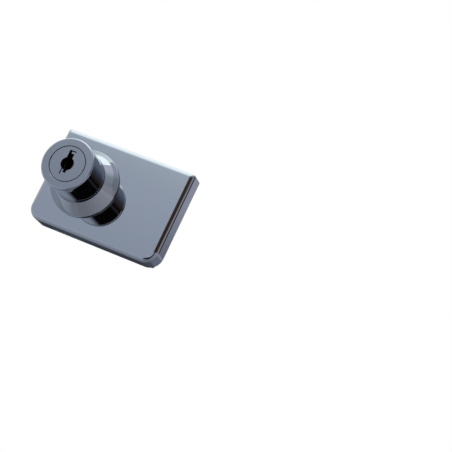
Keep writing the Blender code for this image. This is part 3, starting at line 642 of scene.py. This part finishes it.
@dataclass
class Housing:
    """The cast front cap, and the conical collar that stands on it, with their sizes in millimetres."""

    fillet: float = 1.75
    top_corner: float = 0.9
    inner_corner: float = 0.5
    bottom_corner: float = 5.2
    face_wall: float = 1.6
    side_wall: float = 1.8
    bottom_wall: float = 2.4
    depth: float = 8.0
    spigot_radius: float = 9.1
    bore_radius: float = 8.2
    post_radius: float = 2.7
    post_end: float = 6.35
    rib_sides: Point = (8.25, 9.65)
    rib_foot: float = 1.2
    rib_height: float = 2.8
    screw_bore: float = 1.4
    screw_depth: float = 4.7
    slot_half_width: float = 8.25
    slot_depths: Point = (4.95, 6.65)
    edge_break: float = 0.08
    collar_edge: float = 0.16
    collar_pocket: float = 9.69
    collar_lip: float = 0.08
    collar_lap: float = 9.3
    pocket_depth: float = 0.5
    pocket_break: float = 0.03
    lap_depth: float = 0.9
    brim: float = 0.65
    brim_break: Point = (0.15, 0.1)
    places: list[Point] = field(default_factory=list)

    def outline(self, inset: Sequence[float], top: float, bottom: float) -> list[Point]:
        """The housing's outline, moved inwards.

        Args:
            inset: How far the sides, the bottom and the top lie inwards.
            top: The top corners' radius.
            bottom: The bottom corners' radius.

        Returns:
            The X and Z of its corners.
        """
        low, high = box_mm("front_housing")
        left, right = low.x + inset[0], high.x - inset[0]
        floor, roof = low.z + inset[1], high.z - inset[2]
        corners = (
            (left + bottom, floor + bottom, bottom, 2),
            (right - bottom, floor + bottom, bottom, 3),
            (right - top, roof - top, top, 4),
            (left + top, roof - top, top, 5),
        )
        return [
            (x + radius * math.cos(a), z + radius * math.sin(a))
            for x, z, radius, quarter in corners
            for a in ((quarter + k / CORNER_STEPS) * math.pi / 2 for k in range(CORNER_STEPS + 1))
        ]

    def casting(self) -> bpy.types.Object:
        """Model the cap: rounded face, hollow back, spigot, posts, ribs, bore and bolt slot.

        Returns:
            The casting.
        """
        low, high = box_mm("front_housing")
        face = high.y - self.depth
        rings = []
        for k in range(FILLET_STEPS + 1):
            turn = math.pi / 2 * k / FILLET_STEPS
            inset = self.fillet * (1 - math.sin(turn))
            top = self.top_corner + (self.inner_corner - self.top_corner) * inset / self.fillet
            outline = self.outline((inset, inset, inset), top, self.bottom_corner - inset)
            rings.append((outline, face + self.fillet * (1 - math.cos(turn))))
        rings.append((self.outline((0, 0, 0), self.top_corner, self.bottom_corner), high.y))
        walls = (self.side_wall, self.bottom_wall, self.side_wall)
        hollow = self.outline(walls, self.inner_corner, self.bottom_corner - self.bottom_wall)
        cap = ringed("housing_casting", [*rings, (hollow, high.y), (hollow, face + self.face_wall)])
        inside, back = face + self.face_wall / 2, face + self.post_end
        grown = [rod("post", self.post_radius, inside, back, at, sides=32) for at in self.places]
        grown.append(rod("spigot", self.spigot_radius, low.y, inside, sides=128))
        foot, rib_top = low.z + self.rib_foot, low.z + self.bottom_wall + self.rib_height
        for side in (-1, 1):
            near, far = sorted(side * x for x in self.rib_sides)
            grown.append(block("rib", (near, inside, foot), (far, back, rib_top)))
        work(cap, grown, Cut.JOIN)
        slot = block(
            "slot",
            (-self.slot_half_width, face + self.slot_depths[0], low.z - PAST),
            (self.slot_half_width, face + self.slot_depths[1], low.z + self.bottom_wall + PAST),
        )
        bore = rod("bore", self.bore_radius, low.y - PAST, inside + self.face_wall, sides=128)
        bottom, past = high.y - self.screw_depth, high.y + PAST
        holes = [rod("hole", self.screw_bore, bottom, past, at, sides=24) for at in self.places]
        work(cap, [bore, slot, *holes])
        return smooth(cap, self.edge_break)

    def collar(self) -> bpy.types.Object:
        """Turn the conical collar with its pocket for the neck and its brim.

        Returns:
            The collar.
        """
        low, high = box_mm("collar")
        pocket, lap = self.collar_pocket, self.collar_lap
        floor, step = low.y + self.pocket_depth, high.y - self.lap_depth
        rim = high.y - self.brim
        profile = [
            (self.bore_radius, step),
            (self.bore_radius, floor),
            (pocket, floor),
            (pocket, low.y + self.pocket_break),
            (pocket + self.pocket_break, low.y),
            (pocket + self.collar_lip, low.y),
            (high.x - self.brim_break[0], rim - self.brim_break[1]),
            (high.x, rim),
            (high.x, high.y),
            (lap, high.y),
            (lap, step),
        ]
        return smooth(turning("collar_cone", rounded(profile, self.collar_edge)), angle=50)

    def build(self) -> None:
        """Make and dress the cap and its collar."""
        self.places = [axis_of(f"housing_screw_{i}") for i in HOUSING_SCREWS]
        dress(self.casting(), CAST_CHROME, Body.LOCK, "front_housing")
        dress(self.collar(), TURNED_CHROME, Body.LOCK, "collar")


@dataclass
class KeyCylinder:
    """Barrel, plug and the pieces that turn with the plug, with their sizes in millimetres."""

    shank: float = 8.0
    neck: float = 9.65
    shoulder: float = 0.2
    lip: float = 1.3
    ring_edge: float = 0.5
    edge_break: float = 0.08
    head_bore: float = 6.9
    bore: float = 6.2
    head_depth: float = 2.0
    barrel_gap: float = 0.625
    barrel_shade_reach: float = 7.2
    channel: float = 6.85
    channel_margin: float = 0.5
    stop_radii: Point = (6.9, 7.9)
    stop_half_angle: float = 12.0
    plug_radius: float = 6.1
    plug_head: float = 1.6
    plug_gap: float = 0.12
    plug_break: float = 0.05
    plug_shade_reach: float = 7.0
    hole_radius: float = 2.5
    hole_depth: float = 2.4
    key_depth: float = 17.6
    slot_half: float = 3.15
    slot_reach: float = 7.0
    slot_play: float = 0.15
    pocket_reach: float = 4.45
    pocket_half: float = 3.05
    tail_half: float = 2.3
    tail_length: float = 0.5
    screw_radius: float = 1.55
    screw_depth: float = 5.3
    keyway: tuple[Point, ...] = (
        (-1.3, 5.2),
        (1.25, 5.2),
        (1.25, 4.78),
        (-0.3, 4.78),
        (-0.3, 4.05),
        (0.9, 4.05),
        (0.9, -3.45),
        (-0.3, -3.45),
        (-0.3, -2.3),
        (-0.88, -2.3),
        (-0.88, -4.5),
        (-1.3, -4.5),
    )

    def barrel(self) -> bpy.types.Object:
        """Turn the barrel: rounded ring, neck, shank and stepped bore, with its wafer channels.

        Returns:
            The barrel.
        """
        low, high = box_mm("cylinder_barrel")
        shoulder = box_mm("collar")[0].y + self.shoulder
        front, ring = low.y, high.x
        end = box_mm("plug")[1].y - self.barrel_gap
        edge = [
            (ring - self.ring_edge * (1 - math.cos(a)), front + self.ring_edge * (1 - math.sin(a)))
            for a in (math.pi / 2 * k / ARC_STEPS for k in range(ARC_STEPS + 1))
        ]
        profile = [
            (self.shank, end),
            (self.shank, shoulder),
            (self.neck, shoulder),
            (self.neck, front + self.lip),
            (ring, front + self.lip - (ring - self.neck)),
            *edge,
            (self.head_bore + self.edge_break, front),
            (self.head_bore, front + self.edge_break),
            (self.head_bore, front + self.head_depth),
            (self.bore, front + self.head_depth),
            (self.bore, end),
        ]
        barrel = turning("barrel_turning", profile)
        half = math.asin(self.slot_half / self.channel)
        cross = []
        for quarter in range(4):
            middle = quarter * math.pi / 2
            cross += arc(self.channel, middle - half, middle + half, ARC_STEPS)
            cross += arc(self.slot_half * math.sqrt(2), middle + math.pi / 4, middle + math.pi / 4, 0)
        first = box_mm("wafer_1")[0].y - self.channel_margin
        last = box_mm("wafer_6")[1].y + self.channel_margin
        work(barrel, [plate_from("channels", cross, first, last)])
        inner, outer = self.stop_radii
        spread = math.radians(self.stop_half_angle)
        sector = arc(outer, math.pi - spread, math.pi + spread, ARC_STEPS)
        sector += arc(inner, math.pi + spread, math.pi - spread, ARC_STEPS)
        work(barrel, [plate_from("cam_stop", sector, end - PAST, high.y)], Cut.JOIN)
        return smooth(barrel, angle=40)

    def plug(self) -> bpy.types.Object:
        """Turn the plug and cut its keyway, pilot hole and wafer slots.

        Returns:
            The plug.
        """
        low, high = box_mm("plug")
        front, head = low.y, high.x - self.plug_gap
        end = high.y - self.tail_length
        profile = [
            (head - self.edge_break, front),
            (head, front + self.edge_break),
            (head, front + self.plug_head),
            (self.plug_radius, front + self.plug_head),
            (self.plug_radius, end),
        ]
        plug = turning("plug_turning", profile, solid=True)
        half = self.tail_half
        tail = block("tail", (-half, end - PAST, -half), (half, high.y, half))
        work(plug, [tail], Cut.JOIN)
        tools = []
        wide, tall = self.slot_half, self.slot_reach
        reach, side = self.pocket_reach, self.pocket_half
        for i in WAFERS:
            node_low, node_high = box_mm(f"wafer_{i}")
            y_low, y_high = node_low.y - self.slot_play, node_high.y + self.slot_play
            tools.append(block("slot", (-wide, y_low, -tall), (wide, y_high, tall)))
            tools.append(block("pocket", (0, y_low, -side), (reach, y_high, side)))
        tools.append(plate_from("key_slot", self.keyway, front - PAST, front + self.key_depth))
        tools.append(rod("pilot", self.hole_radius, front - PAST, front + self.hole_depth, sides=64))
        bottom = end - self.screw_depth
        tools.append(rod("screw_hole", self.screw_radius, bottom, high.y + PAST, sides=24))
        work(plug, tools)
        return smooth(plug, self.plug_break)

    def build(self) -> None:
        """Make and dress the barrel and plug, and finish the wafers, springs, cam and screws."""
        barrel = self.barrel()
        dress(barrel, TURNED_CHROME, Body.LOCK, "cylinder_barrel")
        face_front(barrel, LAPPED_CHROME)
        # The barrel's bore is painted dark brass as the shade in the gap round the plug.
        paint_shade_inside(barrel, BARE_BRASS_WITH_PAINTED_SHADE, self.barrel_shade_reach)
        plug = self.plug()
        dress(plug, LAPPED_CHROME, Body.PLUG, "plug")
        # The plug's sides and keyway are painted dark brass as the shade in the gap and the keyway.
        paint_shade_inside(plug, BARE_BRASS_WITH_PAINTED_SHADE, self.plug_shade_reach)
        for i in WAFERS:
            keep(f"wafer_{i}", STAMPED_BRASS)
            keep(f"wafer_spring_{i}", SPRING_WIRE)
        for node in ("barrel_nut", "drive_cam", "cam_screw", "guide_stud"):
            keep(node, ZINC_TURNED)


def keep(node: str, finish: Finish) -> None:
    """Keep a solid as it is and give it a finish.

    Args:
        node: The solid's name.
        finish: Its finish.
    """
    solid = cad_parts[node]
    solid.data.materials.clear()
    solid.data.materials.append(finish.material())
    LOG.info("%s keeps its solid", node)


@dataclass
class Clamp:
    """The folded channel and all that it carries, with the sizes of its set screws and weld nuts."""

    set_radius: float = 2.5
    set_pitch: float = 0.8
    set_depth: float = 0.42
    set_break: float = 0.2
    set_chamfer: float = 0.3
    dog_radius: float = 1.5
    dog_length: float = 1.2
    thread_ends: Point = (1.6, 0.35)
    thread_sink: float = 0.15
    thread_flank: tuple[float, ...] = (0.0, 0.42, 0.52, 0.94)
    thread_steps: int = 32
    socket: float = 1.45
    socket_depth: float = 2.4
    nut_flat: float = 4.0
    nut_crown: float = 0.1
    nut_slope: float = 2.0
    nut_bore: float = 2.65
    nut_mouth: float = 3.2
    nut_break: float = 0.3
    nut_edge: float = 0.06

    def set_screw(self, index: int) -> bpy.types.Object:
        """Model a set screw: dog point, helical thread and hexagon socket.

        Args:
            index: Which of the two.

        Returns:
            The screw.
        """
        low, high = box_mm(f"set_screw_{index}")
        at = axis_of(f"set_screw_{index}")
        core = self.set_radius - self.set_depth
        dog, less = self.dog_radius, self.set_break
        foot = low.y + self.dog_length
        profile = [
            (dog - less, low.y),
            (dog, low.y + less),
            (dog, foot),
            (core - less, foot),
            (core, foot + self.set_chamfer),
            (core, high.y - self.set_chamfer),
            (core - less, high.y),
        ]
        screw = turning(f"set_screw_thread_{index}", profile, at, solid=True, sides=48)
        work(screw, [rod("socket", self.socket, high.y - self.socket_depth, high.y + PAST, at, sides=6)])
        ridge = self.thread(low.y + self.thread_ends[0], high.y - self.thread_ends[1], at)
        work(screw, [ridge], Cut.JOIN)
        return smooth(screw, angle=30)

    def thread(self, start: float, end: float, at: Point) -> bpy.types.Object:
        """Wind a set screw's thread from four corners that rise by shares of the pitch.

        Args:
            start: Its first Y.
            end: Its last Y.
            at: The X and Z of the axis.

        Returns:
            The ridge alone, closed at both ends.
        """
        pitch, outer = self.set_pitch, self.set_radius
        turns = int((end - start) / pitch) - 1
        deselect()
        bpy.ops.mesh.primitive_circle_add(vertices=4, radius=MM, fill_type="NOTHING")
        piece = settle("thread")
        root = outer - self.set_depth - self.thread_sink
        corners = zip(piece.data.vertices, (root, outer, outer, root), self.thread_flank, strict=True)
        for vertex, radius, rise in corners:
            vertex.co = metres(radius, start + rise * pitch, 0)
        wind = piece.modifiers.new("wind", "SCREW")
        wind.axis = "Y"
        wind.steps = self.thread_steps
        wind.render_steps = self.thread_steps
        wind.iterations = turns
        wind.screw_offset = pitch * MM
        choose(piece)
        bpy.ops.object.modifier_apply(modifier=wind.name)
        bpy.ops.object.mode_set(mode="EDIT")
        bpy.ops.mesh.select_all(action="SELECT")
        bpy.ops.mesh.remove_doubles(threshold=WELD * MM)
        bpy.ops.mesh.select_all(action="SELECT")
        bpy.ops.mesh.fill_holes(sides=4)
        bpy.ops.mesh.select_all(action="SELECT")
        bpy.ops.mesh.normals_make_consistent(inside=False)
        bpy.ops.transform.translate(value=metres(at[0], 0, at[1]))
        bpy.ops.object.mode_set(mode="OBJECT")
        return piece

    def weld_nut(self, index: int) -> bpy.types.Object:
        """Model a hexagon weld nut with a chamfered top and a broken bore.

        Args:
            index: Which of the two.

        Returns:
            The nut.
        """
        low, high = box_mm(f"weld_nut_{index}")
        at = axis_of(f"weld_nut_{index}")
        corner = self.nut_flat / math.cos(math.pi / 6)
        nut = rod(f"weld_nut_hexagon_{index}", corner, low.y, high.y, at, sides=6)
        section = [
            (corner + 2 * PAST, low.y - PAST),
            (corner + 2 * PAST, high.y + PAST),
            (self.nut_flat - self.nut_crown, high.y),
            (corner + self.nut_break, low.y + self.nut_slope),
            (corner + self.nut_break, low.y - PAST),
        ]
        cone = turning("cone", section, at, sides=64)
        tap = [
            (self.nut_bore + self.nut_break, low.y - PAST),
            (self.nut_bore, low.y + self.nut_break),
            (self.nut_bore, high.y - self.nut_break),
            (self.nut_mouth, high.y + self.nut_break),
        ]
        work(nut, [cone, turning("bore", tap, at, solid=True, sides=48)])
        return smooth(nut, self.nut_edge)

    def build(self) -> None:
        """Make and dress the channel and all that it carries."""
        keep("glass_channel", ZINC_SHEET)
        for i in HOUSING_SCREWS:
            keep(f"housing_screw_{i}", ZINC_TURNED)
        keep("bolt", ZINC_TURNED)
        keep("pressure_plate", ZINC_SHEET)
        for node in ("front_pad", "rear_pad", "edge_pad"):
            keep(node, PAD_VINYL)
        for i in SET_SCREWS:
            dress(self.set_screw(i), BLACK_OXIDE, f"set_screw_{i}", f"set_screw_{i}")
            dress(self.weld_nut(i), ZINC_TURNED, Body.LOCK, f"weld_nut_{i}")


@dataclass(frozen=True)
class Panel:
    """One panel of the tent.

    Attributes:
        sides: Where it begins and ends round the lock, in degrees: 0 in front, and more to the right.
        levels: Its lowest and highest height angle, in degrees.
        edge: Half the width of its soft edge, in degrees.
        colors: Height angles in degrees with their sRGB colours, upwards.
    """

    sides: Point
    levels: Point
    edge: float
    colors: tuple[tuple[float, str], ...]


@dataclass
class Studio:
    """Floor, white surround, tent, lamps and camera. The cloth's colours go by height angle, in degrees."""

    place: tuple[float, float, float] = (195.2, -420.4, -91.3)
    aim: tuple[float, float, float] = (-0.3118, 0.9255, 0.2151)
    up: tuple[float, float, float] = (-0.3402, -0.3201, 0.8842)
    lens: float = 99.43
    sensor: float = 36.0
    clip: Point = (0.01, 50.0)
    soft: str = "dfe3ea"
    soft_strength: float = 0.55
    floor: float = -300.0
    floor_size: float = 6000.0
    paper: str = "f4f4f4"
    paper_roughness: float = 0.9
    tent_radius: float = 2400.0
    glow: float = 1.65
    cloth: tuple[tuple[float, str], ...] = (
        (-90, "5c646e"),
        (-65, "737b88"),
        (-44, "7f8592"),
        (-28, "8a93a4"),
        (0, "838c9c"),
        (9, "848d9d"),
        (13, "8e97a6"),
        (15, "9ca6b0"),
        (23, "adb7c0"),
        (32, "bcc6cf"),
        (45, "d2dbe2"),
        (56, "e2eef6"),
        (75, "e6f1f8"),
    )
    panels: tuple[Panel, ...] = (
        # The lighter left side, a blue strip above the lens, and the broad, darker right side.
        Panel((-190, -64), (2, 38), 14.0, ((4, "9aa3aa"), (12, "9ea7ae"), (25, "b4bdc5"))),
        Panel((-14, 4), (15, 38), 4.0, ((26, "5e6d83"), (34, "74819a"))),
        Panel(
            (2, 157),
            (-90, 78),
            1.5,
            (
                (-70, "626570"),
                (-8, "787c87"),
                (4, "7f8492"),
                (14, "666972"),
                (46, "757f8b"),
                (55, "9298a8"),
                (62, "a0a4b4"),
            ),
        ),
        # The black flag round the lens with its upper part, and plain cloth straight in front.
        Panel((-12, 40), (-46, 4), 8.0, ((0, "060505"),)),
        Panel(
            (-8, 40),
            (0, 27),
            4.0,
            (
                (4, "060505"),
                (9, "1f1915"),
                (14, "2d2b31"),
                (18, "313342"),
                (26, "4c586d"),
            ),
        ),
        Panel((-16, 16), (-16, 7), 3.0, ((-10, "838c9c"),)),
        # Brown and dark strips over the flag and beside it, and a grey one farther round.
        Panel((-11, 36), (9, 14.8), 1.0, ((0, "3b2c1f"),)),
        Panel((18.5, 28), (8.6, 15.2), 0.6, ((9, "1f1915"), (14, "2d2b31"))),
        Panel((36, 68), (6, 16), 4.0, ((0, "2a201b"),)),
        Panel((82, 110), (4, 22), 5.0, ((0, "767781"),)),
        # The dim back: low right, navy above it, and low on both sides of the seam.
        Panel((125, 200), (-90, 3), 7.0, ((-70, "62656f"), (-36, "585c66"), (-5, "5d6373"))),
        Panel((112, 157.5), (9.2, 50), 0.7, ((0, "191b28"),)),
        Panel((157.5, 200), (-1, 60), 0.7, ((0, "5a5e6b"), (9.5, "5c606b"), (12.5, "7e8290"))),
        Panel(
            (-200, -128),
            (-90, 0),
            10.0,
            (
                (-63, "666b76"),
                (-36, "565b66"),
                (-23, "3c3f4a"),
                (-9, "2d3039"),
            ),
        ),
        Panel((172, 200), (-60, 0), 7.0, ((-36, "565b66"), (-23, "3c3f4a"), (-9, "2d3039"))),
    )

    def camera(self) -> None:
        """Put the camera at the photograph's viewing angle and framing."""
        data = bpy.data.cameras.new("camera")
        data.lens = self.lens
        data.sensor_width = self.sensor
        data.clip_start, data.clip_end = self.clip
        camera = bpy.data.objects.new("camera", data)
        aim = Vector(self.aim).normalized()
        right = aim.cross(Vector(self.up)).normalized()
        camera.rotation_mode = "QUATERNION"
        camera.location = metres(*self.place)
        camera.rotation_quaternion = Matrix((right, right.cross(aim), -aim)).transposed().to_quaternion()
        bpy.context.scene.collection.objects.link(camera)
        bpy.context.scene.camera = camera

    def world(self) -> None:
        """Make the surround white to the camera and soft elsewhere, and leave the metal to the tent."""
        world = bpy.data.worlds.new("surround")
        world.use_nodes = True
        tree = world.node_tree
        tree.nodes.clear()
        seen = add_node(tree, "ShaderNodeLightPath").outputs["Is Camera Ray"]
        dim = {"Color": linear(self.soft), "Strength": self.soft_strength}
        soft = add_node(tree, "ShaderNodeBackground", dim).outputs[0]
        plain = {"Color": (1, 1, 1, 1), "Strength": 1.0}
        white = add_node(tree, "ShaderNodeBackground", plain).outputs[0]
        mix = add_node(tree, "ShaderNodeMixShader", {0: seen, 1: soft, 2: white})
        add_node(tree, "ShaderNodeOutputWorld", {"Surface": mix.outputs[0]})
        world.cycles_visibility.glossy = False
        bpy.context.scene.world = world

    def ground(self) -> None:
        """Lay the pale floor, far below the lock."""
        deselect()
        bpy.ops.mesh.primitive_plane_add(size=self.floor_size * MM, location=metres(0, 0, self.floor))
        floor = settle("floor")
        material = bpy.data.materials.new("matt_white_paper")
        material.use_nodes = True
        shader = material.node_tree.nodes["Principled BSDF"]
        shader.inputs["Base Color"].default_value = linear(self.paper)
        shader.inputs["Roughness"].default_value = self.paper_roughness
        floor.data.materials.append(material)
        floor.visible_glossy = False

    def tent(self) -> None:
        """Hang the round cloth tent that only polished metal sees, with its panels in order."""
        deselect()
        bpy.ops.mesh.primitive_uv_sphere_add(segments=64, ring_count=32, radius=self.tent_radius * MM)
        tent = settle("light_tent")
        material = bpy.data.materials.new("lit_tent_cloth")
        material.use_nodes = True
        tree = material.node_tree
        tree.nodes.clear()
        place = add_node(tree, "ShaderNodeTexCoord").outputs["Object"]
        place = add_node(tree, "ShaderNodeVectorMath", {0: place}, operation="NORMALIZE").outputs[0]
        along = add_node(tree, "ShaderNodeSeparateXYZ", {0: place}).outputs
        front = compute(tree, "MULTIPLY", along["Y"], -1.0)
        turn = compute(tree, "ARCTAN2", along["X"], front)
        level = compute(tree, "ARCSINE", along["Z"])
        color = self.fade(tree, level, self.cloth)
        for panel in self.panels:
            across = self.window(tree, turn, panel.sides, panel.edge)
            upward = self.window(tree, level, panel.levels, panel.edge)
            both = compute(tree, "MULTIPLY", across, upward)
            own = self.fade(tree, level, panel.colors)
            mix = add_node(tree, "ShaderNodeMix", {0: both, 6: color, 7: own}, data_type="RGBA")
            color = mix.outputs[2]
        glow = add_node(tree, "ShaderNodeEmission", {"Color": color, "Strength": self.glow})
        add_node(tree, "ShaderNodeOutputMaterial", {"Surface": glow.outputs[0]})
        tent.data.materials.append(material)
        tent.visible_camera = False
        tent.visible_diffuse = False
        tent.visible_shadow = False

    @staticmethod
    def fade(
        tree: bpy.types.NodeTree, level: bpy.types.NodeSocket, colors: Sequence[tuple[float, str]]
    ) -> bpy.types.NodeSocket:
        """Shade the cloth from low to high.

        Args:
            tree: The tent's nodes.
            level: The height angle.
            colors: Height angles in degrees with their colours, upwards.

        Returns:
            The colour.
        """
        span = {"Value": level, "From Min": -math.pi / 2, "From Max": math.pi / 2}
        share = add_node(tree, "ShaderNodeMapRange", span).outputs["Result"]
        ramp = add_node(tree, "ShaderNodeValToRGB", {"Fac": share})
        stops = ramp.color_ramp.elements
        stops.remove(stops[1])
        for i, (angle, code) in enumerate(colors):
            height = (angle + 90) / 180
            stop = stops.new(height) if i else stops[0]
            stop.position = height
            stop.color = linear(code)
        return ramp.outputs["Color"]

    @staticmethod
    def window(
        tree: bpy.types.NodeTree, angle: bpy.types.NodeSocket, limits: Point, edge: float
    ) -> bpy.types.NodeSocket:
        """Mark the angles between two limits.

        Args:
            tree: The tent's nodes.
            angle: The angle, in radians.
            limits: The two limits, in degrees.
            edge: Half the width of the soft edge, in degrees.

        Returns:
            1 inside, 0 outside, and smooth between.
        """
        parts = []
        for limit, sign in zip(limits, (1, -1), strict=True):
            span = {"Value": angle, "From Min": math.radians(limit - sign * edge)}
            span["From Max"] = math.radians(limit + sign * edge)
            step = add_node(tree, "ShaderNodeMapRange", span, interpolation_type="SMOOTHSTEP")
            parts.append(step.outputs["Result"])
        return compute(tree, "MULTIPLY", *parts)

    @staticmethod
    def lamp(name: str, direction: Sequence[float], distance: float, size: float, power: float) -> None:
        """Add a soft square lamp that looks at the lock.

        Args:
            name: Its name.
            direction: Where it hangs, seen from the lock.
            distance: How far off, in millimetres.
            size: Its side, in millimetres.
            power: In watts.
        """
        away = Vector(direction).normalized()
        data = bpy.data.lights.new(name, "AREA")
        data.size = size * MM
        data.energy = power
        lamp = bpy.data.objects.new(name, data)
        lamp.visible_glossy = False
        lamp.location = away * distance * MM
        lamp.rotation_euler = away.to_track_quat("Z", "Y").to_euler()
        bpy.context.scene.collection.objects.link(lamp)

    def build(self) -> None:
        """Set up the whole studio."""
        self.camera()
        self.world()
        self.ground()
        self.tent()
        self.lamp("top_lamp", (-0.3, -0.3, 0.9), distance=800, size=500, power=6)
        self.lamp("side_lamp", (-0.9, -0.3, 0.3), distance=900, size=400, power=3)


def main() -> None:
    """Build the lock's looks and the studio, and report each piece."""
    logging.basicConfig(level=logging.INFO, format="%(name)s: %(message)s")
    Studio().build()
    for part in (Housing(), KeyCylinder(), Clamp()):
        part.build()
    bpy.context.scene.view_settings.view_transform = "Standard"


if __name__ == "__main__":
    main()
